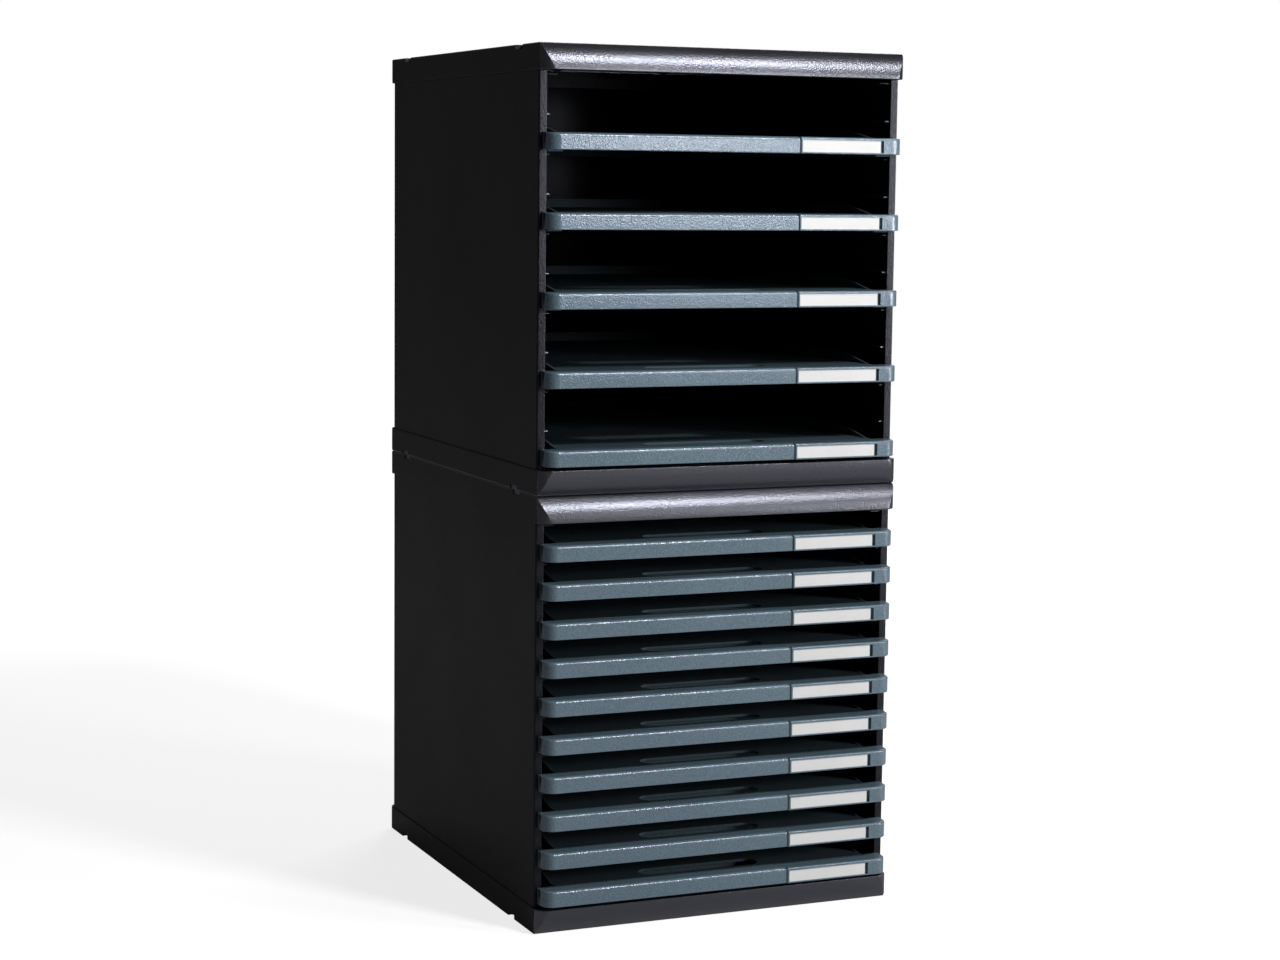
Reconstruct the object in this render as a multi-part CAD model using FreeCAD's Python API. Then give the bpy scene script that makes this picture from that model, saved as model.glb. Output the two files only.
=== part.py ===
"""Two stacked tray cabinets: the upper one carries five open letter trays, the lower one ten drawers.

Sizes are in millimetres. The origin is the centre of the footprint at the bottom, +Z is up, and the
fronts face -Y. Every function below works in one shared working frame, with y = 0 on the foremost line
of the cabinet caps; save() moves each piece so that the footprint is centred.
"""
import FreeCAD, Part
import math
import os

V = FreeCAD.Vector

# ---- cabinet -----------------------------------------------------------------------------------------
UNIT_WIDTH = 288.0        # one cabinet across its caps
UNIT_DEPTH = 350.0        # front to back across its caps
SLOTS = 10                # runner pairs in one cabinet
SLOT_PITCH = 28.0         # height step from one runner pair to the next
SLOT_SPARE = 2.0          # extra height inside, over and above the slots
CAP_HEIGHT = 19.0         # base and lid mouldings
CAP_SETBACK = 9.0         # how far the rounded cap front falls back at its outer edge
CAP_CORNER = 10.0         # corner radius of the cap seen from above
CAP_RIM = 6.0             # solid rim along the sides of a cap
CAP_PLATE = 2.5           # outer plate of a cap
CAP_BORDER = 16.0         # solid front and back border of a cap
CAP_RIB_HEIGHT = 8.0
RIB = 2.0                 # ribs inside the caps and the bars
PANEL = 2.5               # side panel thickness
PANEL_REVEAL = 0.8        # side panels stand back from the caps by this much
PANEL_INSET = 12.0        # panels start this far behind the cap front, and end as far before the back
FLANGE_WIDTH = 6.2        # front strip of a side panel, turned inwards
FLANGE_DEPTH = 2.5
CORNER_STEP = 0.8         # small step down the front corner of a side panel
BACK_PANEL = 2.4
LEDGE_REACH = 6.9         # runner, measured in from the inner face of the side panel
LEDGE = 2.0               # runner thickness
LEDGE_LAP = 0.5           # runner tips run into the front strip by this much
LEAD_IN = 10.0            # sloping tip of a runner
TOP_GUIDE_REACH = 12.2    # the guide above the top slot reaches further in
TONGUE_LENGTH = 30.0      # tongues that set the side panels into the caps
TONGUE_DEPTH = 8.0

# ---- stacking notches and clips ----------------------------------------------------------------------
NOTCH_LENGTH = 14.0
NOTCH_WIDTH = 5.0
NOTCH_DEPTH = 3.4
NOTCH_FRONT = 53.0        # middle of the front pair, behind the cap front
NOTCH_REAR = 46.0         # middle of the rear pair, ahead of the cap back
NOTCH_SHIFT = 5.6         # lid notches sit this much further forward than base notches
CLIP_LEG = 2.4            # how much deeper the locking leg of a clip goes than the notch

# ---- tray --------------------------------------------------------------------------------------------
BAR_HEIGHT = 12.0         # front bar
BAR_GAP = 2.6             # between the base cap and the lowest bar
BAR_FRONT = 3.0           # bar front stands this far in front of the caps
BAR_SIDE_GAP = 3.8        # bar ends stop this far short of the cap sides
BAR_CORNER = 9.0
BAR_ROUND = 2.8           # rounding along the top front edge
BAR_WALL = 2.0
BAR_CELLS = 4             # hollow cells underneath
TRAY_WALL = 2.0
SIDE_RISE = 7.0           # side walls rise this much above the floor
RAMP_START = 6.5          # level stretch of the side walls behind the bar
RAMP_LENGTH = 39.0        # then the ramp up to their full height
SLOT_SHIFT = -6.0         # finger slot in the floor, off the middle by this much
SLOT_LENGTH = 96.0
SLOT_WIDTH = 17.0
SLOT_SETBACK = 4.0        # floor left between the bar and the slot
FLOOR_RIB = 1.6           # ribs under the tray floor
FLOOR_RIB_DROP = 5.5
RUNNER = 2.0              # flange that slides on the ledges
RUNNER_WIDTH = 9.3
RUNNER_DROP = 1.3         # its underside lies this much below the bar
LUG_INSET = 78.2          # front of the stop lugs, ahead of the tray back; it allows 240 of travel
LUG_LENGTH = 8.0
LUG_HEIGHT = 6.0
POST_LENGTH = 15.0        # rear post under the ledge above
REAR_GAP = 2.6            # between the tray back and the cabinet back

# ---- label holder ------------------------------------------------------------------------------------
HOLDER_LENGTH = 85.3      # raised right end of the bar
HOLDER_RAISE = 1.2
HOLDER_ROUND = 1.6
LABEL_MARGIN = 1.6        # left end of the holder to the card
LABEL_LENGTH = 64.4
LABEL_WINDOW = 8.7        # height of card left showing
LABEL_LOW = 1.1           # bottom of the window above the bottom of the bar
LABEL_EDGE = 0.5          # card held under the lips above and below
LABEL_CARD = 0.5
LABEL_GROOVE = 0.7        # groove behind the lips
LABEL_POCKET = 1.1        # depth of the holder from its front face
THUMB_GAP = 2.4           # well left open beyond the end of the card
THUMB_DEPTH = 2.4         # and its depth

# ---- clearances --------------------------------------------------------------------------------------
SLIDE_GAP = 0.3           # tray runner above its ledge, lug behind its stop
SIDE_GAP = 0.7            # tray runner to panel flange
FIT_GAP = 0.3             # tongues in their pockets
BAR_BACK_GAP = 0.5        # back of the bar to the front of the panels
CLIP_GAP = 0.15
POST_GAP = 0.4            # rear post below the ledge above it
LUG_SIDE_GAP = 0.8        # lug to the inner face of the side panel

# ---- sizes that follow -------------------------------------------------------------------------------
HALF_WIDTH = UNIT_WIDTH / 2
UNIT_HEIGHT = 2 * CAP_HEIGHT + SLOTS * SLOT_PITCH + SLOT_SPARE
PANEL_TOP = UNIT_HEIGHT - CAP_HEIGHT
PANEL_BACK = UNIT_DEPTH - PANEL_INSET
PANEL_OUT = HALF_WIDTH - PANEL_REVEAL
PANEL_IN = PANEL_OUT - PANEL
FLANGE_IN = PANEL_OUT - FLANGE_WIDTH
FLANGE_BACK = PANEL_INSET + FLANGE_DEPTH
BAR_HALF = HALF_WIDTH - BAR_SIDE_GAP
BAR_BACK = PANEL_INSET - BAR_BACK_GAP
TRAY_BACK = PANEL_BACK - BACK_PANEL - REAR_GAP
RUNNER_OUT = FLANGE_IN - SIDE_GAP
TRAY_OUT = RUNNER_OUT - RUNNER_WIDTH
TRAY_IN = TRAY_OUT - TRAY_WALL
SIDE_TOP = BAR_HEIGHT + SIDE_RISE
LEDGE_TOP = -RUNNER_DROP - SLIDE_GAP
HOLDER_START = BAR_HALF - HOLDER_LENGTH
HOLDER_FACE = -BAR_FRONT - HOLDER_RAISE
LABEL_LEFT = HOLDER_START + LABEL_MARGIN
LABEL_HIGH = LABEL_LOW + LABEL_WINDOW
FOOTPRINT_SHIFT = (-HOLDER_FACE - UNIT_DEPTH) / 2
UPPER_TRAY_SLOTS = range(2, SLOTS + 1, 2)
DRAWER_SLOTS = range(1, SLOTS + 1)


# ---- building blocks ---------------------------------------------------------------------------------
def block(x0, x1, y0, y1, z0, z1):
    """Box between the given limits."""
    return Part.makeBox(x1 - x0, y1 - y0, z1 - z0, V(x0, y0, z0))


def both_sides(shape):
    """The shape and its mirror image across the middle plane."""
    return [shape, shape.mirror(V(0, 0, 0), V(1, 0, 0))]


def fused(shapes):
    """One clean solid from touching or overlapping shapes."""
    return shapes[0].multiFuse(shapes[1:]).removeSplitter()


def filled(points, sweep):
    """Solid swept from the flat outline through the given corner points."""
    wire = Part.makePolygon(points + points[:1])
    return Part.Face(wire).extrude(sweep)


def side_profile(outline, x0, x1):
    """Outline given as (y, z) points, swept across from x0 to x1."""
    return filled([V(x0, y, z) for y, z in outline], V(x1 - x0, 0, 0))


def rounded_plan(x0, x1, y0, y1, radius, corners):
    """Tall block whose upright edges at the given (x, y) corners are rounded."""
    plan = block(x0, x1, y0, y1, -UNIT_HEIGHT, UNIT_HEIGHT)
    chosen = []
    for edge in plan.Edges:
        a, b = edge.Vertexes[0].Point, edge.Vertexes[-1].Point
        upright = abs(a.z - b.z) > UNIT_HEIGHT
        if upright and any(math.hypot(a.x - x, a.y - y) < 1e-6 for x, y in corners):
            chosen.append(edge)
    return plan.makeFillet(radius, chosen)


def arc_face(x, pieces):
    """Face in the plane at x. Each piece is a list of two (y, z) points for a line or three for an arc."""
    edges = []
    for piece in pieces:
        points = [V(x, y, z) for y, z in piece]
        curve = Part.Arc(*points) if len(points) == 3 else Part.LineSegment(*points)
        edges.append(curve.toShape())
    return Part.Face(Part.Wire(edges))


def bar_bottom(slot):
    """Height of the bottom of a tray bar above the bottom of its cabinet; slot 1 is the top one."""
    return CAP_HEIGHT + BAR_GAP + (SLOTS - slot) * SLOT_PITCH


# ---- caps --------------------------------------------------------------------------------------------
def cap_solid():
    """Outside form of a cap, wide end up: rounded front and back, rounded corners seen from above."""
    radius = (CAP_HEIGHT ** 2 + CAP_SETBACK ** 2) / (2 * CAP_SETBACK)
    half_angle = math.asin(CAP_HEIGHT / radius) / 2
    mid_y = radius * (1 - math.cos(half_angle))
    mid_z = CAP_HEIGHT - radius * math.sin(half_angle)
    low_front, high_front = (CAP_SETBACK, 0), (0, CAP_HEIGHT)
    low_back, high_back = (UNIT_DEPTH - CAP_SETBACK, 0), (UNIT_DEPTH, CAP_HEIGHT)
    section = arc_face(-HALF_WIDTH, [
        [low_front, (mid_y, mid_z), high_front],
        [high_front, high_back],
        [high_back, (UNIT_DEPTH - mid_y, mid_z), low_back],
        [low_back, low_front]])
    corners = [(x, y) for x in (-HALF_WIDTH, HALF_WIDTH) for y in (0, UNIT_DEPTH)]
    plan = rounded_plan(-HALF_WIDTH, HALF_WIDTH, 0, UNIT_DEPTH, CAP_CORNER, corners)
    return section.extrude(V(UNIT_WIDTH, 0, 0)).common(plan)


def notch_middles(shift):
    """Middles of the front and the rear notch, moved back by the given shift."""
    return [NOTCH_FRONT + shift, UNIT_DEPTH - NOTCH_REAR + shift]


def notch_pocket(middle, gap):
    """One stacking notch on the right edge, seen from the outer plate at z = 0: a shallow step open to
    the side and a deeper pocket behind it for the leg of the clip. A gap makes it smaller all round."""
    x0 = HALF_WIDTH - NOTCH_WIDTH
    half = NOTCH_LENGTH / 2
    step = block(x0 + gap, HALF_WIDTH, middle - half + gap, middle + half - gap, 0, NOTCH_DEPTH - gap)
    leg = block(x0 + gap, x0 + NOTCH_WIDTH / 2 - gap, middle - half / 2 + gap, middle + half / 2 - gap,
                0, NOTCH_DEPTH + CLIP_LEG - gap)
    return step.fuse(leg)


def tongue_middles():
    """Positions of the tongues along the depth of a side panel."""
    span = PANEL_BACK - PANEL_INSET
    return [PANEL_INSET + span * share for share in (0.25, 0.75)]


def tongue_pocket(middle):
    """Pocket in the right rim of a cap for one panel tongue."""
    half = TONGUE_LENGTH / 2 + FIT_GAP
    return block(PANEL_IN, PANEL_OUT - FIT_GAP, middle - half, middle + half,
                 CAP_HEIGHT - TONGUE_DEPTH - FIT_GAP, CAP_HEIGHT + 1)


def cap_ribs(x_in, y_front, y_back):
    """Crossed ribs standing on the plate inside a cap."""
    top = CAP_PLATE + CAP_RIB_HEIGHT
    ribs = []
    for share in (1 / 3, 2 / 3):
        y = y_front + (y_back - y_front) * share
        x = -x_in + 2 * x_in * share
        ribs.append(block(-x_in, x_in, y - RIB / 2, y + RIB / 2, CAP_PLATE / 2, top))
        ribs.append(block(x - RIB / 2, x + RIB / 2, y_front, y_back, CAP_PLATE / 2, top))
    return ribs


def cap(notch_shift):
    """Base cap with its plate down; a lid is the same cap turned over, with its notches further forward."""
    x_in = HALF_WIDTH - CAP_RIM
    y_front = CAP_BORDER
    y_back = UNIT_DEPTH - CAP_BORDER
    cavity = block(-x_in, x_in, y_front, y_back, CAP_PLATE, CAP_HEIGHT + 1)
    pockets = [cavity]
    for middle in tongue_middles():
        pockets += both_sides(tongue_pocket(middle))
    for middle in notch_middles(notch_shift):
        pockets += both_sides(notch_pocket(middle, 0))
    shell = cap_solid().cut(pockets)
    return fused([shell] + cap_ribs(x_in, y_front, y_back))


def base_cap():
    return cap(NOTCH_SHIFT / 2)


def lid_cap():
    return cap(-NOTCH_SHIFT / 2).mirror(V(0, 0, UNIT_HEIGHT / 2), V(0, 0, 1))


# ---- cabinet panels ----------------------------------------------------------------------------------
def ledge(top, reach):
    """Right-hand runner ledge with a sloping lead-in at its front tip; the lowest one is thinned from
    below, so that it lies on the rim of the base cap."""
    front = FLANGE_BACK - LEDGE_LAP
    back = PANEL_BACK - BACK_PANEL
    outline = [(front, top - LEDGE), (back, top - LEDGE), (back, top), (front + LEAD_IN, top),
               (front, top - LEDGE / 2)]
    shelf = side_profile(outline, PANEL_IN - reach, PANEL_OUT - PANEL / 2)
    return shelf.cut(block(0, HALF_WIDTH, 0, UNIT_DEPTH, 0, CAP_HEIGHT))


def right_side():
    """Right side panel: a skin whose front is turned inwards as a strip, with a fine step down its
    corner, the runner ledges inside, and tongues for the caps above and below."""
    step_x, step_y = PANEL_OUT - CORNER_STEP, PANEL_INSET + CORNER_STEP
    outline = [(FLANGE_IN, PANEL_INSET), (step_x, PANEL_INSET), (step_x, step_y), (PANEL_OUT, step_y),
               (PANEL_OUT, PANEL_BACK), (PANEL_IN, PANEL_BACK), (PANEL_IN, FLANGE_BACK),
               (FLANGE_IN, FLANGE_BACK)]
    skin = filled([V(x, y, CAP_HEIGHT) for x, y in outline], V(0, 0, PANEL_TOP - CAP_HEIGHT))
    pieces = [skin, ledge(bar_bottom(0) + LEDGE_TOP, TOP_GUIDE_REACH)]
    for slot in range(1, SLOTS + 1):
        pieces.append(ledge(bar_bottom(slot) + LEDGE_TOP, LEDGE_REACH))
    for middle in tongue_middles():
        half = TONGUE_LENGTH / 2
        pieces.append(block(PANEL_IN + FIT_GAP, PANEL_OUT - 2 * FIT_GAP, middle - half, middle + half,
                            CAP_HEIGHT - TONGUE_DEPTH, PANEL_TOP + TONGUE_DEPTH))
    return fused(pieces)


def back_panel():
    """Plain back, standing between the rear edges of the side panels."""
    return block(-PANEL_IN, PANEL_IN, PANEL_BACK - BACK_PANEL, PANEL_BACK, CAP_HEIGHT, PANEL_TOP)


# ---- stacking clip -----------------------------------------------------------------------------------
def right_clip(pair):
    """Clip that locks a base onto the lid below it, at the joint z = 0. Its lower half fills the lid
    notch and its upper half the base notch, which stands further back."""
    base_half = notch_pocket(notch_middles(NOTCH_SHIFT / 2)[pair], CLIP_GAP)
    lid_half = notch_pocket(notch_middles(-NOTCH_SHIFT / 2)[pair], CLIP_GAP)
    lid_half = lid_half.mirror(V(0, 0, 0), V(0, 0, 1))
    flush = block(HALF_WIDTH - CORNER_STEP, HALF_WIDTH + 1, 0, UNIT_DEPTH, -CAP_HEIGHT, CAP_HEIGHT)
    return fused([base_half, lid_half]).cut(flush)


# ---- tray --------------------------------------------------------------------------------------------
def bar_length(x0, x1, face, corner, top_round):
    """Stretch of the front bar from x0 to x1, rounded along its top front edge and at the upright corner
    at the given x."""
    centre_y, centre_z = face + top_round, BAR_HEIGHT - top_round
    reach = top_round * math.sqrt(0.5)
    low, high = (face, centre_z), (centre_y, BAR_HEIGHT)
    section = arc_face(x0, [
        [(face, 0), low],
        [low, (centre_y - reach, centre_z + reach), high],
        [high, (BAR_BACK, BAR_HEIGHT)],
        [(BAR_BACK, BAR_HEIGHT), (BAR_BACK, 0)],
        [(BAR_BACK, 0), (face, 0)]])
    plan = rounded_plan(x0, x1, face, BAR_BACK, BAR_CORNER, [(corner, face)])
    return section.extrude(V(x1 - x0, 0, 0)).common(plan)


def bar_cells():
    """Hollow cells under the front bar, with upright ribs left standing between them."""
    front = HOLDER_FACE + THUMB_DEPTH + BAR_WALL
    back = BAR_BACK - BAR_WALL
    end = BAR_HALF - 2 * BAR_WALL
    step = 2 * end / BAR_CELLS
    cells = []
    for number in range(BAR_CELLS):
        x = -end + number * step
        cells.append(block(x + RIB / 2, x + step - RIB / 2, front, back, -1, BAR_HEIGHT - BAR_WALL))
    return cells


def label_pocket():
    """Pocket of the label holder: an open window, behind it a wider groove for the card edges, and a
    deeper well at the right, where a thumb bends the card out of its groove."""
    back = HOLDER_FACE + LABEL_POCKET
    end = LABEL_LEFT + LABEL_LENGTH
    window = block(LABEL_LEFT, end, HOLDER_FACE - 1, back, LABEL_LOW, LABEL_HIGH)
    well = block(end, end + THUMB_GAP, HOLDER_FACE - 1, HOLDER_FACE + THUMB_DEPTH, LABEL_LOW, LABEL_HIGH)
    groove = block(LABEL_LEFT, end, back - LABEL_GROOVE, back,
                   LABEL_LOW - LABEL_EDGE, LABEL_HIGH + LABEL_EDGE)
    return window.fuse([groove, well])


def label_card():
    """Card lying against the back of its pocket, held under the lips above and below."""
    back = HOLDER_FACE + LABEL_POCKET
    return block(LABEL_LEFT, LABEL_LEFT + LABEL_LENGTH, back - LABEL_CARD, back,
                 LABEL_LOW - LABEL_EDGE, LABEL_HIGH + LABEL_EDGE)


def front_bar():
    """Plain bar on the left and the slightly raised label holder on the right, hollow underneath."""
    plain = bar_length(-BAR_HALF, HOLDER_START, -BAR_FRONT, -BAR_HALF, BAR_ROUND)
    holder = bar_length(HOLDER_START, BAR_HALF, HOLDER_FACE, BAR_HALF, HOLDER_ROUND)
    return fused([plain, holder]).cut(bar_cells() + [label_pocket()])


def tray_trough():
    """Floor, side walls and runner flanges as one section, swept back from the bar and then cut down
    along the ramps at the front."""
    low = -RUNNER_DROP
    half = [(TRAY_IN, BAR_HEIGHT), (TRAY_IN, SIDE_TOP), (TRAY_OUT, SIDE_TOP), (TRAY_OUT, low + RUNNER),
            (RUNNER_OUT, low + RUNNER), (RUNNER_OUT, low), (TRAY_IN, low), (TRAY_IN, BAR_HEIGHT - TRAY_WALL)]
    outline = half + [(-x, z) for x, z in reversed(half)]
    trough = filled([V(x, BAR_BACK, z) for x, z in outline], V(0, TRAY_BACK - BAR_BACK, 0))
    ramp_foot = BAR_BACK + RAMP_START
    ramp_head = ramp_foot + RAMP_LENGTH
    above = [(BAR_BACK, BAR_HEIGHT), (ramp_foot, BAR_HEIGHT), (ramp_head, SIDE_TOP),
             (ramp_head, SIDE_TOP + 1), (BAR_BACK, SIDE_TOP + 1)]
    return trough.cut(side_profile(above, -RUNNER_OUT, RUNNER_OUT))


def finger_slot():
    """Round-ended opening through the tray floor, just behind the bar."""
    radius = SLOT_WIDTH / 2
    front = BAR_BACK + SLOT_SETBACK
    x0, x1 = SLOT_SHIFT - SLOT_LENGTH / 2, SLOT_SHIFT + SLOT_LENGTH / 2
    corners = [(x, y) for x in (x0, x1) for y in (front, front + SLOT_WIDTH)]
    return rounded_plan(x0, x1, front, front + SLOT_WIDTH, radius * 0.999, corners)


def tray_stops():
    """Right-hand stop lug on the runner flange and, at the rear, the post that keeps a pulled-out tray
    level under the ledge above."""
    x0 = TRAY_OUT - TRAY_WALL / 2
    lug_front = TRAY_BACK - LUG_INSET
    lug = block(x0, PANEL_IN - LUG_SIDE_GAP, lug_front, lug_front + LUG_LENGTH, -RUNNER_DROP, LUG_HEIGHT)
    post_top = SLOT_PITCH + LEDGE_TOP - LEDGE - POST_GAP
    post = block(x0, RUNNER_OUT, TRAY_BACK - POST_LENGTH, TRAY_BACK, -RUNNER_DROP, post_top)
    return [lug, post]


def floor_ribs():
    """Two cross ribs and two long ribs under the floor, behind the finger slot."""
    z0 = BAR_HEIGHT - TRAY_WALL - FLOOR_RIB_DROP
    z1 = BAR_HEIGHT - TRAY_WALL
    front = BAR_BACK + SLOT_SETBACK + SLOT_WIDTH + SLOT_SETBACK
    back = TRAY_BACK - TRAY_WALL
    middle = (front + back) / 2
    ribs = [block(-TRAY_IN, TRAY_IN, y, y + FLOOR_RIB, z0, z1) for y in (front, middle)]
    for x in (-TRAY_IN / 2, TRAY_IN / 2):
        ribs.append(block(x - FLOOR_RIB / 2, x + FLOOR_RIB / 2, front, back, z0, z1))
    return ribs


def tray():
    """Whole tray, with z = 0 at the bottom of its bar."""
    back = block(-TRAY_OUT, TRAY_OUT, TRAY_BACK - TRAY_WALL, TRAY_BACK, -RUNNER_DROP, SIDE_TOP)
    pieces = [front_bar(), tray_trough(), back] + floor_ribs()
    for piece in tray_stops():
        pieces += both_sides(piece)
    return fused(pieces).cut(finger_slot())


# ---- output ------------------------------------------------------------------------------------------
def save(shape, name, height):
    """Write one piece, raised by the given height and moved so that the footprint is centred."""
    placed = shape.copy()
    placed.translate(V(0, FOOTPRINT_SHIFT, height))
    if len(placed.Solids) == 1:
        placed = placed.Solids[0]
    placed.exportStep("parts/" + name + ".step")


def save_cabinet(prefix, height):
    """The five pieces of one cabinet."""
    right, left = both_sides(right_side())
    save(base_cap(), prefix + "_base_cap", height)
    save(lid_cap(), prefix + "_lid_cap", height)
    save(right, prefix + "_right_side", height)
    save(left, prefix + "_left_side", height)
    save(back_panel(), prefix + "_back_panel", height)


def save_clips():
    """Four clips on the joint between the two cabinets."""
    for pair, place in enumerate(("front", "rear")):
        right, left = both_sides(right_clip(pair))
        save(right, "clip_right_" + place, UNIT_HEIGHT)
        save(left, "clip_left_" + place, UNIT_HEIGHT)


def save_trays():
    """Five trays above, on every second slot, and ten drawers below; each with its label card."""
    one_tray = tray()
    card = label_card()
    for number, slot in enumerate(UPPER_TRAY_SLOTS, 1):
        height = UNIT_HEIGHT + bar_bottom(slot)
        save(one_tray, "upper_tray_%d" % number, height)
        save(card, "upper_label_%d" % number, height)
    for number, slot in enumerate(DRAWER_SLOTS, 1):
        height = bar_bottom(slot)
        save(one_tray, "lower_drawer_%02d" % number, height)
        save(card, "lower_label_%02d" % number, height)


os.makedirs("parts", exist_ok=True)
save_cabinet("lower", 0)
save_cabinet("upper", UNIT_HEIGHT)
save_clips()
save_trays()
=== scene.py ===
"""Looks of the letter tray stack: two black cabinets, slate trays above, slate drawers below."""
import math

import bmesh
import bpy
from mathutils import Matrix, Vector


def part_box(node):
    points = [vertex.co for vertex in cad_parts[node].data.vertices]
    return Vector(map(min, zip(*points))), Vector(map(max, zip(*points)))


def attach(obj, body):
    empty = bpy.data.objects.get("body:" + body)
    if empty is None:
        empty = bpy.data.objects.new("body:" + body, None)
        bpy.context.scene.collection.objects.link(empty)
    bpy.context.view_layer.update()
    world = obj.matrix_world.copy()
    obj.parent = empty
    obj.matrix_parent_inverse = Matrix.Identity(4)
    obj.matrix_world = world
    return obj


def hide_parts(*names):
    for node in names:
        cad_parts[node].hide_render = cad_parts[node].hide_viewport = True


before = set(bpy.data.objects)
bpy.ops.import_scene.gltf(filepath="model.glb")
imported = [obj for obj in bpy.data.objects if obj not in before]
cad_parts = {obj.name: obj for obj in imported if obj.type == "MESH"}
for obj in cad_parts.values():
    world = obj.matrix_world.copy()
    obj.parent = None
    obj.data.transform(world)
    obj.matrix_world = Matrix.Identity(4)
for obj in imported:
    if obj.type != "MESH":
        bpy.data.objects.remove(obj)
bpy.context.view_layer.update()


# ---- casing plastic ----------------------------------------------------------------------------
# Both cabinets are injection moulded in black polystyrene with a fine spark-eroded grain. The
# grain breaks up every highlight; the colour itself hardly varies. Their flat faces are dull.
class Field:
    """A value that varies over a surface. Arithmetic on it adds the Math nodes."""

    def __init__(self, tree, socket):
        self.tree = tree
        self.socket = socket

    def math(self, operation, *values):
        node = self.tree.nodes.new("ShaderNodeMath")
        node.operation = operation
        for slot, value in zip(node.inputs, values):
            if isinstance(value, Field):
                self.tree.links.new(value.socket, slot)
            else:
                slot.default_value = value
        return Field(self.tree, node.outputs[0])

    def __add__(self, other):
        return self.math("ADD", self, other)

    def __mul__(self, other):
        return self.math("MULTIPLY", self, other)

    __radd__ = __add__
    __rmul__ = __mul__


class Finish:
    """A material or a world while its nodes are being joined up."""

    def __init__(self, name, kind=bpy.data.materials):
        self.owner = kind.new(name)
        self.owner.use_nodes = True
        self.tree = self.owner.node_tree
        self.tree.nodes.clear()

    def node(self, kind, settings=None, output=0, **values):
        """Add a node: its settings first, then values or links for its sockets. A socket is named
        in lower case with underscores, or by its number after the letter n."""
        node = self.tree.nodes.new("ShaderNode" + kind)
        for key, value in (settings or {}).items():
            setattr(node, key, value)
        for key, value in values.items():
            if key[0] == "n" and key[1:].isdigit():
                slot = node.inputs[int(key[1:])]
            else:
                slot = next(s for s in node.inputs if s.name.lower().replace(" ", "_") == key)
            if isinstance(value, Field):
                self.tree.links.new(value.socket, slot)
            else:
                slot.default_value = value
        return Field(self.tree, node.outputs[output]) if node.outputs else None

    def mixed(self, factor, first, second):
        """Blend of two colours; each is a tuple or a Field."""
        return self.node("Mix", {"data_type": "RGBA"}, 2, n0=factor, n6=first, n7=second)

    def surface(self, shader):
        self.node("OutputMaterial", surface=shader)
        return self.owner


SHINE_TINT = (0.84, 0.86, 1.0, 1)
PITS = (860.0, 0.9)         # scale, and share of the relief
MOTTLE = (400.0, 0.1)
DRIFT = (9.0, 0.2)          # scale, and share of the tone
TONE_SPAN = (0.41, 0.59)    # values of the noise at the deep and at the pale colour
GLOSS_DRIFT = 0.12          # how much the roughness varies


def grained_plastic(name, deep, pale, roughness, shine, grain_depth, ior=1.5):
    """Moulded plastic with a fine eroded grain: small pits on soft mottling."""
    finish = Finish(name)
    place = finish.node("TexCoord", output=3)
    pits = finish.node("TexNoise", vector=place, scale=PITS[0], detail=1.0, roughness=0.5)
    mottle = finish.node("TexNoise", vector=place, scale=MOTTLE[0], detail=1.0, roughness=0.5)
    drift = finish.node("TexNoise", vector=place, scale=DRIFT[0], detail=2.0, roughness=0.5)
    relief = pits * PITS[1] + mottle * MOTTLE[1]
    tone = finish.node("MapRange", value=relief * (1 - DRIFT[1]) + drift * DRIFT[1],
                       from_min=TONE_SPAN[0], from_max=TONE_SPAN[1])
    colour = finish.mixed(tone, deep, pale)
    gloss = roughness - GLOSS_DRIFT / 2 + GLOSS_DRIFT * drift
    bump = finish.node("Bump", strength=1.0, distance=grain_depth, height=relief)
    shader = finish.node("BsdfPrincipled", base_color=colour, roughness=gloss, normal=bump,
                         specular_ior_level=shine, specular_tint=SHINE_TINT, ior=ior)
    return finish.surface(shader)


CASING_BLACK = ((0.004, 0.004, 0.0055, 1), (0.009, 0.009, 0.0125, 1))
casing_plastic = grained_plastic("casing plastic", *CASING_BLACK, roughness=0.50, shine=0.38,
                                 grain_depth=0.00022)


# ---- caps --------------------------------------------------------------------------------------
# Each cabinet is closed by a base and, turned over, a lid: black mouldings with a plate, a rim and
# crossed ribs inside. Front and back are swept out to the seam and glossier than the flats. Notches
# in the plate's side edges take the stacking clips.
CAP_BLACK = ((0.005, 0.005, 0.0065, 1), (0.010, 0.010, 0.0135, 1))
cap_plastic = grained_plastic("cap plastic", *CAP_BLACK, roughness=0.31, shine=1.00,
                              grain_depth=0.00023, ior=1.68)
CAP_CORNER = 0.010
CAP_SETBACK = 0.009                         # how far the plate's front lies behind the seam
PLATE_ROUND = 0.0009
SEAM_ROUND = 0.0006
CAP_WALL = 0.006
CAP_BORDER = 0.016
CAP_PLATE = 0.0025
CAP_RIB = (0.002, 0.008)                    # thickness and height
NOTCH = (0.005, 0.014, 0.0034)              # width, length and depth
NOTCH_POCKET = (0.0025, 0.007, 0.0058)      # distance from the edge, length and depth
CLIP_PLAY = 0.00015
LAP = 0.001                                 # how far cutters and ribs run past a face
ROUND_STEPS = 4                             # facets in the rounds of plate and seam
SWEEP_STEPS = 14                            # facets in the sweep between them
EDGE_SEGMENTS = 2                           # facets of the small edge radii
EDGE_ANGLE = math.radians(50)               # least angle of an edge that gets one
SMOOTH_ANGLE = math.radians(32)
INSIDE = 0.9                                # share of a wall past which the hollow's faces lie
FLAT = 0.99                                 # least part of a flat face's normal on one axis


def loft(bm, rings):
    """Closed skin through rings of points, each ring with as many points as the next."""
    rows = [[bm.verts.new(point) for point in ring] for ring in rings]
    for low, high in zip(rows, rows[1:]):
        for i in range(len(low)):
            bm.faces.new((low[i - 1], low[i], high[i], high[i - 1]))
    bm.faces.new(rows[0][::-1])
    bm.faces.new(rows[-1])


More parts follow.
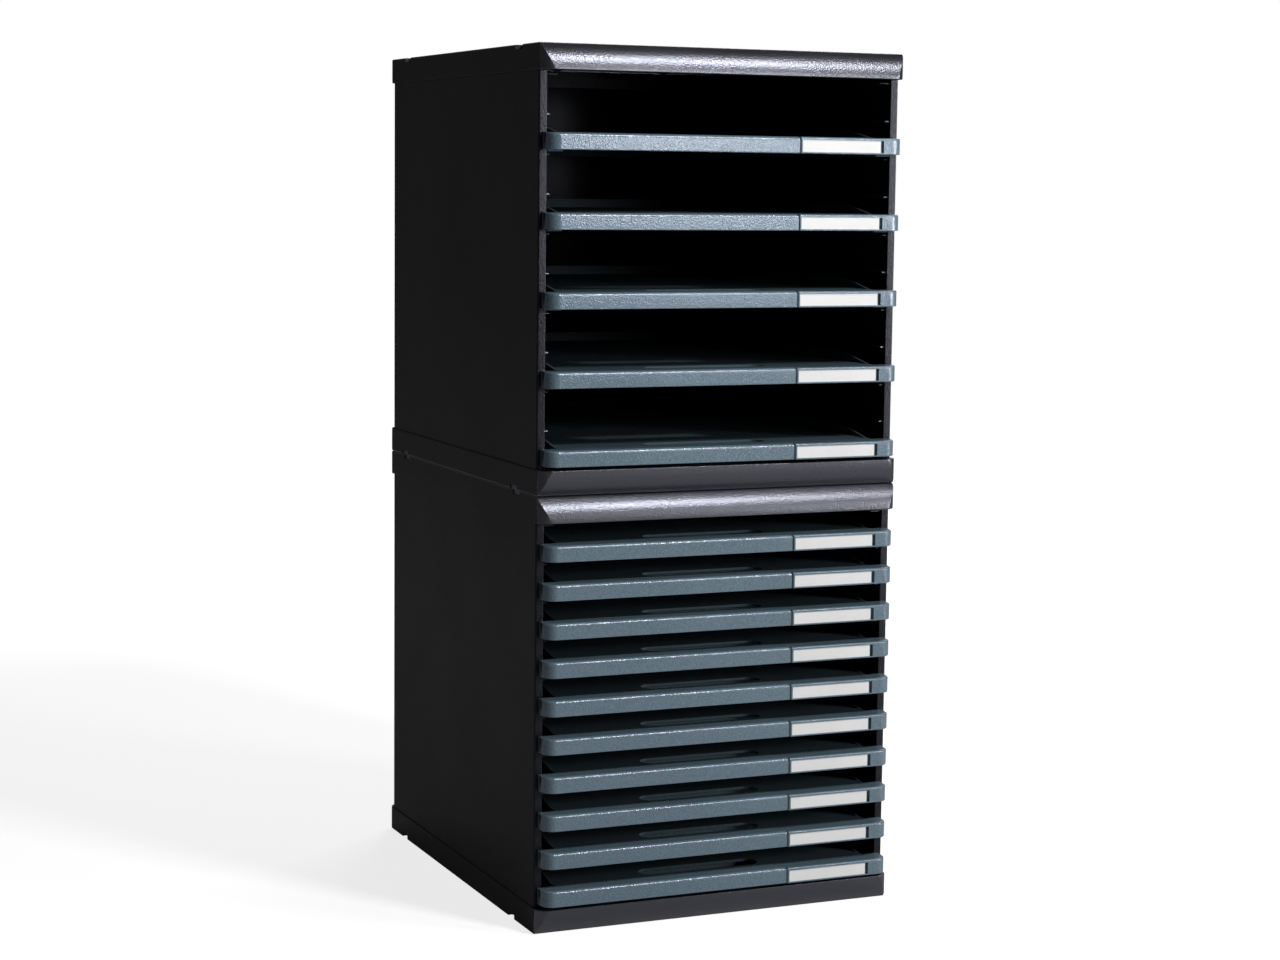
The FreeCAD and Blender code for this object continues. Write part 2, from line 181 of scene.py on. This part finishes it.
def prism(bm, outline, sweep):
    """Solid swept from a flat outline."""
    loft(bm, [outline, [Vector(point) + Vector(sweep) for point in outline]])


def block(bm, low, high):
    """Upright box between two corners."""
    ring = [(low[0], low[1], low[2]), (high[0], low[1], low[2]),
            (high[0], high[1], low[2]), (low[0], high[1], low[2])]
    prism(bm, ring, (0, 0, high[2] - low[2]))


def piece(name, bm):
    """Object from a finished mesh, with its faces turned outwards."""
    bmesh.ops.recalc_face_normals(bm, faces=bm.faces)
    mesh = bpy.data.meshes.new(name)
    bm.to_mesh(mesh)
    bm.free()
    made = bpy.data.objects.new(name, mesh)
    bpy.context.scene.collection.objects.link(made)
    return made


def settle(made):
    """Turn a piece's modifiers into plain mesh."""
    shown = made.evaluated_get(bpy.context.evaluated_depsgraph_get())
    mesh = bpy.data.meshes.new_from_object(shown)
    made.modifiers.clear()
    made.data = mesh


def trimmed(made, operation, *others):
    """Join the other pieces to this one or cut them out of it, and delete them."""
    for other in others:
        step = made.modifiers.new("trim", "BOOLEAN")
        step.operation = operation
        step.solver = "EXACT"
        step.object = other
    settle(made)
    for other in others:
        bpy.data.objects.remove(other)


def moulded(made, material, edge=0.0):
    """Give a piece its small edge radius, smooth shading that keeps flats flat, and its plastic."""
    if edge:
        bevel = made.modifiers.new("edges", "BEVEL")
        bevel.width = edge
        bevel.segments = EDGE_SEGMENTS
        bevel.limit_method = "ANGLE"
        bevel.angle_limit = EDGE_ANGLE
        settle(made)
    made.data.polygons.foreach_set("use_smooth", [True] * len(made.data.polygons))
    made.data.set_sharp_from_angle(angle=SMOOTH_ANGLE)
    made.modifiers.new("flats", "WEIGHTED_NORMAL").keep_sharp = True
    settle(made)
    made.data.materials.clear()
    made.data.materials.append(material)


def joined(first, *others):
    """One object from several that ride together."""
    with bpy.context.temp_override(active_object=first, object=first,
                                   selected_editable_objects=[first, *others]):
        bpy.ops.object.join()
    return first


def row_tree():
    """Geometry Nodes tree that repeats a piece along a straight row."""
    tree = bpy.data.node_groups.new("row", "GeometryNodeTree")
    for name, kind in (("Geometry", "Geometry"), ("Count", "Int"), ("Step", "Vector"),
                       ("Material", "Material")):
        tree.interface.new_socket(name, in_out="INPUT", socket_type="NodeSocket" + kind)
    tree.interface.new_socket("Geometry", in_out="OUTPUT", socket_type="NodeSocketGeometry")
    given, line, copies, real, dress, result = (tree.nodes.new(kind) for kind in (
        "NodeGroupInput", "GeometryNodeMeshLine", "GeometryNodeInstanceOnPoints",
        "GeometryNodeRealizeInstances", "GeometryNodeSetMaterial", "NodeGroupOutput"))
    for source, end in ((given.outputs["Count"], line.inputs["Count"]),
                        (given.outputs["Step"], line.inputs["Offset"]),
                        (line.outputs["Mesh"], copies.inputs["Points"]),
                        (given.outputs["Geometry"], copies.inputs["Instance"]),
                        (copies.outputs["Instances"], real.inputs["Geometry"]),
                        (real.outputs["Geometry"], dress.inputs["Geometry"]),
                        (given.outputs["Material"], dress.inputs["Material"]),
                        (dress.outputs["Geometry"], result.inputs["Geometry"])):
        tree.links.new(source, end)
    return tree


row_nodes = row_tree()


def repeated(made, count, step, material):
    """Repeat a piece in a row, each copy one step on from the last."""
    row = made.modifiers.new("row", "NODES")
    row.node_group = row_nodes
    values = {"Count": count, "Step": step, "Material": material}
    for socket in row_nodes.interface.items_tree:
        if socket.in_out == "INPUT" and socket.name in values:
            row[socket.identifier] = values[socket.name]
    settle(made)
    return made


def cap_outline(low, high, height, setback, inset, corner_steps=7):
    """Plan of a cap at one height: its front and back drawn in by the setback, all of it by the
    inset."""
    radius = CAP_CORNER - inset
    start = math.asin((CAP_CORNER - setback - inset) / radius)
    points = []
    for side_x, side_y in ((1, -1), (1, 1), (-1, 1), (-1, -1)):
        centre_x = (high.x if side_x > 0 else low.x) - side_x * CAP_CORNER
        centre_y = (high.y if side_y > 0 else low.y) - side_y * CAP_CORNER
        angles = [start * (1 - step / corner_steps) for step in range(corner_steps + 1)]
        if side_x * side_y > 0:
            angles.reverse()
        for angle in angles:
            points.append((centre_x + side_x * radius * math.cos(angle),
                           centre_y + side_y * radius * math.sin(angle), height))
    return points


def cap_levels(depth):
    """Pairs of depth below the plate's face and inset there, down to the seam."""
    quarter = [math.radians(90 * step / ROUND_STEPS) for step in range(ROUND_STEPS + 1)]
    near_plate = [(PLATE_ROUND * (1 - math.cos(a)), PLATE_ROUND * (1 - math.sin(a)))
                  for a in quarter]
    near_seam = [(depth - SEAM_ROUND * (1 - math.cos(a)), SEAM_ROUND * (1 - math.sin(a)))
                 for a in reversed(quarter)]
    span = depth - SEAM_ROUND - PLATE_ROUND
    between = [(PLATE_ROUND + span * step / SWEEP_STEPS, 0.0) for step in range(1, SWEEP_STEPS)]
    return near_plate + between + near_seam


def cap(name, node, plate_up, notch_side):
    """One cap on its CAD node's place. The notches of a lid lie further forward than a base's."""
    low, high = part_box(node)
    depth = high.z - low.z
    plate_z, inward = (high.z, -1) if plate_up else (low.z, 1)
    sweep = (depth ** 2 + CAP_SETBACK ** 2) / (2 * CAP_SETBACK)
    rings = []
    for level, inset in cap_levels(depth):
        setback = sweep - math.sqrt(sweep ** 2 - (depth - level) ** 2)
        rings.append(cap_outline(low, high, plate_z + inward * level, setback, inset))
    skin = bmesh.new()
    loft(skin, rings)
    made = piece(name, skin)
    hollow = bmesh.new()
    floor_z = plate_z + inward * CAP_PLATE
    mouth_z = plate_z + inward * (depth + LAP)
    block(hollow, (low.x + CAP_WALL, low.y + CAP_BORDER, min(floor_z, mouth_z)),
          (high.x - CAP_WALL, high.y - CAP_BORDER, max(floor_z, mouth_z)))
    cutters = [piece("hollow", hollow)]
    for place in ("front", "rear"):
        clip_low, clip_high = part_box("clip_right_" + place)
        if notch_side == "lid":
            middle = clip_low.y - CLIP_PLAY + NOTCH[1] / 2
        else:
            middle = clip_high.y + CLIP_PLAY - NOTCH[1] / 2
        for side in (1, -1):
            for reach, length, sunk in ((LAP, *NOTCH[1:]),
                                        (-NOTCH_POCKET[0], *NOTCH_POCKET[1:])):
                xs = sorted((side * (high.x - NOTCH[0]), side * (high.x + reach)))
                zs = sorted((plate_z - inward * LAP, plate_z + inward * sunk))
                pocket = bmesh.new()
                block(pocket, (xs[0], middle - length / 2, zs[0]),
                      (xs[1], middle + length / 2, zs[1]))
                cutters.append(piece("notch", pocket))
    trimmed(made, "DIFFERENCE", *cutters)
    moulded(made, cap_plastic)
    made.data.materials.append(casing_plastic)
    for face in made.data.polygons:
        hollow_wall = (abs(face.center.z - plate_z) > INSIDE * CAP_PLATE and
                       low.y + INSIDE * CAP_BORDER < face.center.y < high.y - INSIDE * CAP_BORDER)
        flat = abs(face.normal.x) > FLAT or abs(face.normal.z) > FLAT
        face.material_index = int(hollow_wall or flat)
    rib_z = sorted((floor_z - inward * LAP, floor_z + inward * CAP_RIB[1]))
    wide = high.x - low.x - 2 * CAP_WALL
    deep = high.y - low.y - 2 * CAP_BORDER
    across = bmesh.new()
    y = low.y + CAP_BORDER + deep / 3
    block(across, (low.x + CAP_WALL, y - CAP_RIB[0] / 2, rib_z[0]),
          (high.x - CAP_WALL, y + CAP_RIB[0] / 2, rib_z[1]))
    along = bmesh.new()
    x = low.x + CAP_WALL + wide / 3
    block(along, (x - CAP_RIB[0] / 2, low.y + CAP_BORDER, rib_z[0]),
          (x + CAP_RIB[0] / 2, high.y - CAP_BORDER, rib_z[1]))
    ribs = [repeated(piece("rib", across), 2, (0, deep / 3, 0), cap_plastic),
            repeated(piece("rib", along), 2, (wide / 3, 0, 0), cap_plastic)]
    joined(made, *ribs)
    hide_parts(node)
    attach(made, "cabinet")


for unit in ("lower", "upper"):
    cap(unit + "_base", unit + "_base_cap", plate_up=False, notch_side="base")
    cap(unit + "_lid", unit + "_lid_cap", plate_up=True, notch_side="lid")


# ---- side panels -------------------------------------------------------------------------------
# Each side is one black moulding: a skin 2.5 mm thick whose front is turned inwards as a narrow,
# slightly glossier strip, and inside it ten runner ledges with sloping tips, with a deeper guide
# above the top one. It stands between the caps.
strip_plastic = grained_plastic("strip plastic", *CASING_BLACK, roughness=0.30, shine=0.35,
                                grain_depth=0.00030)
PANEL = 0.0025
STRIP = (0.0062, 0.0025)          # width and depth of the turned-in front
CORNER_STEP = 0.0008
FORWARD = -0.5                    # faces whose normal's y lies below it look forward
SLOTS = 10
LEDGE_REACH = 0.0069              # how far a ledge stands in from the skin
LEDGE = 0.002                     # thickness
LEDGE_LAP = 0.0005                # how far its tip runs into the front strip
LEDGE_NOSE = 0.0011               # radius
NOSE_STEPS = 5
LEAD_IN = 0.010                   # length of the sloping tip
GUIDE_REACH = 0.0122
BACK_PANEL = 0.0024
LEDGE_BELOW_BAR = 0.0016          # from the bottom of a bar down to the top of its ledge
RUNNER_DROP = 0.0013              # and to the underside of its flange
PANEL_EDGE = 0.00035

tray_nodes = (["upper_tray_%d" % n for n in range(1, 6)]
              + ["lower_drawer_%02d" % n for n in range(1, SLOTS + 1)])
bar_bottom = {node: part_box(node)[0].z + RUNNER_DROP for node in tray_nodes}
slot_pitch = bar_bottom["lower_drawer_01"] - bar_bottom["lower_drawer_02"]


def ledge(side, skin_in, reach, front, back, top):
    """One runner ledge, with a round nose and a sloping tip for an easy start."""
    nose = [math.radians(90 * step / NOSE_STEPS) for step in range(NOSE_STEPS + 1)]
    profile = [(front, top - LEDGE), (back, top - LEDGE), (back, top), (front + LEAD_IN, top)]
    profile += [(front + LEDGE_NOSE * (1 - math.sin(a)), top - LEDGE + LEDGE_NOSE * math.cos(a))
                for a in nose]
    shelf = bmesh.new()
    root = side * (skin_in + PANEL / 2)
    prism(shelf, [(root, y, z) for y, z in profile], (-side * (reach + PANEL / 2), 0, 0))
    return piece("ledge", shelf)


def side_panel(unit, side):
    """One side panel between the caps of a cabinet; side is 1 on the right and -1 on the left."""
    node = unit + ("_right_side" if side > 0 else "_left_side")
    low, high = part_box(node)
    out = max(abs(low.x), abs(high.x))
    base_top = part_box(unit + "_base_cap")[1].z
    lid_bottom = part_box(unit + "_lid_cap")[0].z
    inner = out - PANEL
    outline = [(out - STRIP[0], low.y), (out - CORNER_STEP, low.y),
               (out - CORNER_STEP, low.y + CORNER_STEP), (out, low.y + CORNER_STEP), (out, high.y),
               (inner, high.y), (inner, low.y + STRIP[1]), (out - STRIP[0], low.y + STRIP[1])]
    skin = bmesh.new()
    prism(skin, [(side * x, y, base_top) for x, y in outline], (0, 0, lid_bottom - base_top))
    made = piece(unit + ("_side_right" if side > 0 else "_side_left"), skin)
    moulded(made, casing_plastic, PANEL_EDGE)
    made.data.materials.append(strip_plastic)
    for face in made.data.polygons:
        face.material_index = int(face.normal.y < FORWARD)
    front, back = low.y + STRIP[1] - LEDGE_LAP, high.y - BACK_PANEL
    unit_floor = 0.0 if unit == "lower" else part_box("upper_base_cap")[0].z
    lowest = unit_floor + bar_bottom["lower_drawer_10"] - LEDGE_BELOW_BAR
    ledges = ledge(side, inner, LEDGE_REACH, front, back, lowest)
    repeated(ledges, SLOTS, (0, 0, slot_pitch), cap_plastic)
    moulded(ledges, cap_plastic, PANEL_EDGE)
    guide = ledge(side, inner, GUIDE_REACH, front, back, lowest + SLOTS * slot_pitch)
    moulded(guide, cap_plastic, PANEL_EDGE)
    joined(made, ledges, guide)
    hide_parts(node)
    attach(made, "cabinet")


for unit in ("lower", "upper"):
    for side in (1, -1):
        side_panel(unit, side)


# ---- back panels and clips ---------------------------------------------------------------------
# A plain back stands behind the ledges of each cabinet, polished inside and grained outside. Its
# outer face is painted a paler grey than the near-black inside, as painted light so that the back
# shows. Four small clips in the notches lock the upper base to the lower lid. All are moulded in
# black.
BACK_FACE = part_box("upper_back_panel")[1].y
BACK_GRAIN = (0.0012, 0.0006)     # depths under the outer face between which the grain starts
BACK_INSIDE = (0.003, 0.003, 0.004, 1)
# Painted light: the outer face is painted a paler grey than the inside, so the back shows.
BACK_OUTSIDE_PAINTED_LIGHT = ((0.030, 0.030, 0.035, 1), (0.062, 0.062, 0.072, 1))
BACK_ROUGHNESS = (0.12, 0.40)     # inside, and how much more outside

back_finish = Finish("back plastic")
back_place = back_finish.node("TexCoord", output=3)
# This mask lays the painted light and the rougher finish on the outer face.
outside = back_finish.node(
    "MapRange", value=back_finish.node("SeparateXYZ", output=1, vector=back_place),
    from_min=BACK_FACE - BACK_GRAIN[0], from_max=BACK_FACE - BACK_GRAIN[1])
back_grain = back_finish.node("TexNoise", vector=back_place, scale=PITS[0], detail=1.0,
                              roughness=0.5)
# The grained paler tone of the outer face is painted light.
back_painted_light_tone = back_finish.mixed(back_grain, *BACK_OUTSIDE_PAINTED_LIGHT)
back_plastic = back_finish.surface(back_finish.node(
    "BsdfPrincipled", base_color=back_finish.mixed(outside, BACK_INSIDE, back_painted_light_tone),
    roughness=BACK_ROUGHNESS[0] + BACK_ROUGHNESS[1] * outside,
    specular_ior_level=0.012, specular_tint=SHINE_TINT,
    normal=back_finish.node("Bump", strength=1.0, distance=0.00004, height=back_grain)))
for node in ("lower_back_panel", "upper_back_panel", "clip_right_front", "clip_right_rear",
             "clip_left_front", "clip_left_rear"):
    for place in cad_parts[node].material_slots:
        place.material = back_plastic if "back_panel" in node else cap_plastic


# ---- trays and drawers -------------------------------------------------------------------------
# All fifteen are one moulding in slate polystyrene: a hollow front bar with a raised label holder
# at its right end, a floor with a finger slot, ramped side walls, and runner flanges outside. The
# bar is glossy and the inside dull, and the inside is painted a darker slate as painted shade.
# Sizes count from the caps' front and the bottom of the bar.
SLATE = ((0.104, 0.160, 0.198, 1), (0.138, 0.206, 0.250, 1))
# Painted shade: the inside's slate is darker than the bar's and stands in for the shade inside the
# trays.
PAINTED_SHADE_SLATE = ((0.048, 0.074, 0.091, 1), (0.064, 0.095, 0.115, 1))
slate_plastic = grained_plastic("slate plastic", *SLATE, roughness=0.24, shine=1.0,
                                grain_depth=0.00024)
# The inside's plastic carries that painted shade as its colour, and is rougher than the bar's.
slate_inside_painted_shade = grained_plastic("slate plastic inside", *PAINTED_SHADE_SLATE, roughness=0.50, shine=0.12,
                               grain_depth=0.00020)
BAR_FACE = -0.003
BAR_BACK = 0.0115
BAR_HALF = 0.1402
BAR_HEIGHT = 0.012
BAR_CORNER = 0.009
BAR_ROUND = 0.0028
BAR_END_ROUND = 0.0012
BAR_FOOT_ROUND = 0.0006
BAR_TOP_STEPS = 7                                 # facets in the round along its top
BAR_WALL = 0.002
BAR_CELLS = 4
CELL_RIB = 0.002
HOLDER_FACE = -0.0042
HOLDER_START = 0.0549
HOLDER_ROUND = 0.0016
HOLDER_CORNER = 0.0011
WINDOW = (0.0565, 0.1233, 0.0011, 0.0098)         # left, right, bottom and top of the window
WINDOW_DEPTH = 0.0011
THUMB_WELL = (0.0024, 0.0024)                     # length and depth, at its right end
LABEL_GROOVE = (0.0007, 0.0005)                   # depth, and reach above and below it
FLOOR_TOP = 0.012
FLOOR = 0.002
WALL_IN = 0.125
WALL_OUT = 0.127
WALL_TOP = 0.019
RAMP = (0.018, 0.057)                             # front and back of the ramp
TRAY_BACK = 0.333
RUNNER = (0.1363, -0.0013, 0.0007)                # outer edge, underside and top of the flange
FINGER_SLOT = (-0.054, 0.042, 0.0155, 0.0325)     # left, right, front and back
LUG = ((0.126, 0.2548, -0.0013), (0.1399, 0.2628, 0.006))
POST = ((0.126, 0.318, -0.0013), (0.1363, 0.333, 0.024))
FLOOR_RIB = (0.0016, 0.0045)                      # thickness and bottom edge
RIB_START = 0.0365
TRAY_EDGE = 0.0003
WELD = 1e-7                                       # points closer than this become one


def corner_arc(centre, radius, start, end, steps=8):
    """Plan points round a corner, each with its outward direction."""
    points = []
    for step in range(steps + 1):
        angle = math.radians(start + (end - start) * step / steps)
        way = Vector((math.cos(angle), math.sin(angle)))
        points.append((Vector(centre) + radius * way, way))
    return points


def bar_length(plan, top_round, end_round):
    """Stretch of the bar on a plan of points with outward directions. The top edge is rounded
    fully along the front and less round the end, and the bottom edge a little, but not at the
    back."""
    rings = []
    for angle in (0, 45, 90):
        turn = math.radians(angle)
        rings.append([(*(place - BAR_FOOT_ROUND * (1 - math.sin(turn)) * way * (way.y < 0.5)),
                       BAR_FOOT_ROUND * (1 - math.cos(turn))) for place, way in plan])
    for step in range(BAR_TOP_STEPS + 1):
        turn = math.radians(90 * step / BAR_TOP_STEPS)
        ring = []
        for place, way in plan:
            radius = top_round * way.y ** 2 + end_round * way.x ** 2 if way.y <= 0 else 0.0
            drawn_in = place - radius * (1 - math.cos(turn)) * way
            ring.append((*drawn_in, BAR_HEIGHT - radius * (1 - math.sin(turn))))
        rings.append(ring)
    skin = bmesh.new()
    loft(skin, rings)
    bmesh.ops.remove_doubles(skin, verts=skin.verts, dist=WELD)
    return piece("bar", skin)


def front_bar():
    """Hollow bar with the label holder and its window."""
    back, left, right = Vector((0, 1)), Vector((-1, 0)), Vector((1, 0))
    inner = BAR_HALF - BAR_CORNER
    plain = (corner_arc((-inner, BAR_FACE + BAR_CORNER), BAR_CORNER, 180, 270)
             + [(Vector((HOLDER_START, BAR_FACE)), Vector((0, -1))),
                (Vector((HOLDER_START, BAR_BACK)), back), (Vector((-BAR_HALF, BAR_BACK)), back)])
    holder = (corner_arc((HOLDER_START + HOLDER_CORNER, HOLDER_FACE + HOLDER_CORNER), HOLDER_CORNER,
                         180, 270, steps=3)
              + corner_arc((inner, HOLDER_FACE + BAR_CORNER), BAR_CORNER, 270, 360)
              + [(Vector((BAR_HALF, BAR_BACK)), back), (Vector((HOLDER_START, BAR_BACK)), back)])
    made = bar_length(plain, BAR_ROUND, BAR_END_ROUND)
    trimmed(made, "UNION", bar_length(holder, HOLDER_ROUND, BAR_END_ROUND))
    pocket_back = HOLDER_FACE + WINDOW_DEPTH
    window = bmesh.new()
    block(window, (WINDOW[0], HOLDER_FACE - LAP, WINDOW[2]),
          (WINDOW[1], pocket_back, WINDOW[3]))
    groove = bmesh.new()
    block(groove, (WINDOW[0], pocket_back - LABEL_GROOVE[0], WINDOW[2] - LABEL_GROOVE[1]),
          (WINDOW[1] - THUMB_WELL[0], pocket_back, WINDOW[3] + LABEL_GROOVE[1]))
    well = bmesh.new()
    block(well, (WINDOW[1] - THUMB_WELL[0], HOLDER_FACE, WINDOW[2]),
          (WINDOW[1], HOLDER_FACE + THUMB_WELL[1], WINDOW[3]))
    cutters = [piece("window", window), piece("groove", groove), piece("well", well)]
    end = BAR_HALF - 2 * BAR_WALL
    pitch = 2 * end / BAR_CELLS
    cell = bmesh.new()
    block(cell, (-end + CELL_RIB / 2, HOLDER_FACE + THUMB_WELL[1] + BAR_WALL, -LAP),
          (-end + pitch - CELL_RIB / 2, BAR_BACK - BAR_WALL, BAR_HEIGHT - BAR_WALL))
    cutters.append(repeated(piece("cell", cell), BAR_CELLS, (pitch, 0, 0), slate_plastic))
    trimmed(made, "DIFFERENCE", *cutters)
    moulded(made, slate_plastic)
    return made


def trough():
    """Floor, walls and flanges, lofted back from the bar, with the ramps and the finger slot."""
    rings = []
    for y, top in ((BAR_BACK, FLOOR_TOP), (RAMP[0], FLOOR_TOP), (RAMP[1], WALL_TOP),
                   (TRAY_BACK, WALL_TOP)):
        half = [(WALL_IN, FLOOR_TOP), (WALL_IN, top), (WALL_OUT, top), (WALL_OUT, RUNNER[2]),
                (RUNNER[0], RUNNER[2]), (RUNNER[0], RUNNER[1]), (WALL_IN, RUNNER[1]),
                (WALL_IN, FLOOR_TOP - FLOOR)]
        rings.append([(x, y, z) for x, z in half] + [(-x, y, z) for x, z in reversed(half)])
    skin = bmesh.new()
    loft(skin, rings)
    bmesh.ops.remove_doubles(skin, verts=skin.verts, dist=WELD)
    made = piece("trough", skin)
    left, right, front, back = FINGER_SLOT
    radius = (back - front) / 2
    ends = (corner_arc((right - radius, front + radius), radius, -90, 90, steps=12)
            + corner_arc((left + radius, front + radius), radius, 90, 270, steps=12))
    slot = bmesh.new()
    prism(slot, [(*place, 0.0) for place, way in ends], (0, 0, 2 * FLOOR_TOP))
    trimmed(made, "DIFFERENCE", piece("slot", slot))
    moulded(made, slate_inside_painted_shade, TRAY_EDGE)
    return made


def tray_fittings():
    """Back wall, stop lugs, rear posts and the ribs under the floor."""
    fittings = []
    for low, high in (((-WALL_IN, TRAY_BACK - FLOOR, RUNNER[1]), (WALL_IN, TRAY_BACK, WALL_TOP)),
                      LUG, POST):
        for side in (1, -1) if low[0] > 0 else (1,):
            shape = bmesh.new()
            block(shape, (min(side * low[0], side * high[0]), *low[1:]),
                  (max(side * low[0], side * high[0]), *high[1:]))
            fittings.append(piece("fitting", shape))
            moulded(fittings[-1], slate_inside_painted_shade, TRAY_EDGE)
    back = TRAY_BACK - FLOOR
    middle = (RIB_START + back) / 2
    across = bmesh.new()
    block(across, (-WALL_IN, RIB_START, FLOOR_RIB[1]),
          (WALL_IN, RIB_START + FLOOR_RIB[0], FLOOR_TOP - FLOOR / 2))
    along = bmesh.new()
    x = -WALL_IN / 2
    block(along, (x - FLOOR_RIB[0] / 2, RIB_START, FLOOR_RIB[1]),
          (x + FLOOR_RIB[0] / 2, back, FLOOR_TOP - FLOOR / 2))
    fittings.append(repeated(piece("rib", across), 2, (0, middle - RIB_START, 0), slate_inside_painted_shade))
    fittings.append(repeated(piece("rib", along), 2, (WALL_IN, 0, 0), slate_inside_painted_shade))
    return fittings


moulding = joined(front_bar(), trough(), *tray_fittings())
for node in tray_nodes:
    low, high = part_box(node)
    mesh = moulding.data.copy()
    mesh.transform(Matrix.Translation((0, low.y - HOLDER_FACE, bar_bottom[node])))
    body = node.replace("upper_", "").replace("lower_", "")
    made = bpy.data.objects.new(body + "_moulding", mesh)
    bpy.context.scene.collection.objects.link(made)
    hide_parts(node)
    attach(made, body)
bpy.data.objects.remove(moulding)


# ---- label cards -------------------------------------------------------------------------------
# Each holder keeps a blank card of stiff white paper, slipped in behind its lips, with the thumb
# well free beside its right end. The stock has a faint fibre and is a little yellower in patches.
CARD_PAPER = ((0.80, 0.80, 0.79, 1), (0.86, 0.86, 0.86, 1))
CARD_SPAN = (0.35, 0.65)
card_finish = Finish("label card")
card_place = card_finish.node("TexCoord", output=3)
fibre = card_finish.node("TexNoise", vector=card_place, scale=900.0, detail=4.0, roughness=0.6)
patches = card_finish.node("TexNoise", vector=card_place, scale=40.0, detail=2.0, roughness=0.5)
card_tone = card_finish.node("MapRange", value=fibre * 0.5 + patches * 0.5,
                             from_min=CARD_SPAN[0], from_max=CARD_SPAN[1])
card_paper = card_finish.surface(card_finish.node(
    "BsdfPrincipled", base_color=card_finish.mixed(card_tone, *CARD_PAPER),
    roughness=0.85, specular_ior_level=0.25,
    normal=card_finish.node("Bump", strength=0.4, distance=0.00003, height=fibre)))
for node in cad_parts:
    if "_label_" in node:
        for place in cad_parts[node].material_slots:
            place.material = card_paper


# ---- floor and room ----------------------------------------------------------------------------
# The cabinets stand on a wide pale floor in a white room. The floor keeps their soft shadow and
# turns plain white further out, where it meets the room. Gloss shows their white only faintly.
WHITE = (1, 1, 1, 1)
FLOOR_TONE = (0.55, 0.55, 0.55, 1)
FLOOR_GLOW = (0.80, 0.80, 0.80, 1)
FLOOR_RADIUS = 5.0
FLOOR_SIDES = 96
FLOOR_FADE = (0.8, 2.2)   # distances from the middle between which the floor turns white
REFLECTED = 0.055         # strength of that white in gloss and through clear parts
ROOM_LIGHT = 0.03         # and in the light that it gives


def seen_as(finish, direct, unseen=0.0):
    """Strength of something that looks bright, shows faintly in gloss, and hardly gives light."""
    camera_ray, glossy_ray, clear_ray = (finish.node("LightPath", output=name) for name in (
        "Is Camera Ray", "Is Glossy Ray", "Is Transmission Ray"))
    mirrored = glossy_ray.math("MAXIMUM", glossy_ray, clear_ray)
    return unseen + (direct - unseen) * camera_ray + REFLECTED * mirrored


ground = bmesh.new()
bmesh.ops.create_circle(ground, cap_ends=True, radius=FLOOR_RADIUS, segments=FLOOR_SIDES)
studio_floor = piece("studio_floor", ground)
floor_finish = Finish("studio floor")
reach = floor_finish.node("VectorMath", {"operation": "LENGTH"}, 1,
                          n0=floor_finish.node("TexCoord", output=3))
fade = floor_finish.node("MapRange", {"interpolation_type": "SMOOTHSTEP"}, value=reach,
                         from_min=FLOOR_FADE[0], from_max=FLOOR_FADE[1])
matte = floor_finish.node("BsdfDiffuse", color=FLOOR_TONE)
glow = floor_finish.node("Emission", color=floor_finish.mixed(fade, FLOOR_GLOW, WHITE),
                         strength=seen_as(floor_finish, 1.0))
studio_floor.data.materials.append(
    floor_finish.surface(floor_finish.node("AddShader", n0=matte, n1=glow)))

room = Finish("studio room", bpy.data.worlds)
room.node("OutputWorld", surface=room.node("Background", color=WHITE,
                                           strength=seen_as(room, 1.0, ROOM_LIGHT)))
bpy.context.scene.world = room.owner


# ---- light and camera --------------------------------------------------------------------------
# A softbox high at the front right gives the light its direction, and one low at the right fills
# it. A small one with a narrow beam, level with the top trays, puts the sheen on their bars, and a
# broad one behind shows the back. The camera looks slightly down from the front left.
def softbox(name, azimuth, elevation, distance, target, size, power, spread=180):
    """Area lamp seen from its target at an azimuth to the right of the front and an elevation."""
    turn, rise = math.radians(azimuth), math.radians(elevation)
    way = Vector((math.sin(turn) * math.cos(rise), -math.cos(turn) * math.cos(rise),
                  math.sin(rise)))
    lamp = bpy.data.lights.new(name, "AREA")
    lamp.shape = "RECTANGLE"
    lamp.size, lamp.size_y = size
    lamp.energy = power
    lamp.spread = math.radians(spread)
    made = bpy.data.objects.new(name, lamp)
    made.matrix_world = (Matrix.Translation(Vector(target) + distance * way)
                         @ way.to_track_quat("Z", "Y").to_matrix().to_4x4())
    made.visible_camera = False
    bpy.context.scene.collection.objects.link(made)


softbox("key", azimuth=29, elevation=42, distance=2.1, target=(-0.04, -0.17, 0.40),
        size=(0.29, 0.38), power=23.0)
softbox("front", azimuth=50, elevation=8, distance=2.2, target=(0, -0.17, 0.26),
        size=(0.5, 0.5), power=24.5)
softbox("bar_sheen", azimuth=23, elevation=1, distance=1.1, target=(-0.02, -0.175, 0.605),
        size=(0.30, 0.21), power=0.135, spread=36)
softbox("behind", azimuth=140, elevation=35, distance=2.2, target=(0, 0.17, 0.35),
        size=(1.2, 1.2), power=14.0)

CAMERA_PLACE = (-0.80575, -1.87661, 0.54470)
CAMERA_TURN = (23.42202, -6.58251, 0.67264)       # yaw, pitch and roll in degrees
FOCAL_LENGTH = 73.03
SENSOR_WIDTH = 36.0
yaw, pitch, roll = (math.radians(angle) for angle in CAMERA_TURN)
lens = bpy.data.cameras.new("camera")
lens.lens = FOCAL_LENGTH
lens.sensor_width = SENSOR_WIDTH
lens.sensor_fit = "HORIZONTAL"
camera = bpy.data.objects.new("camera", lens)
camera.matrix_world = (Matrix.Translation(CAMERA_PLACE) @ Matrix.Rotation(-yaw, 4, "Z")
                       @ Matrix.Rotation(math.pi / 2 + pitch, 4, "X")
                       @ Matrix.Rotation(roll, 4, "Z"))
bpy.context.scene.collection.objects.link(camera)
bpy.context.scene.camera = camera
bpy.context.scene.view_settings.view_transform = "Standard"
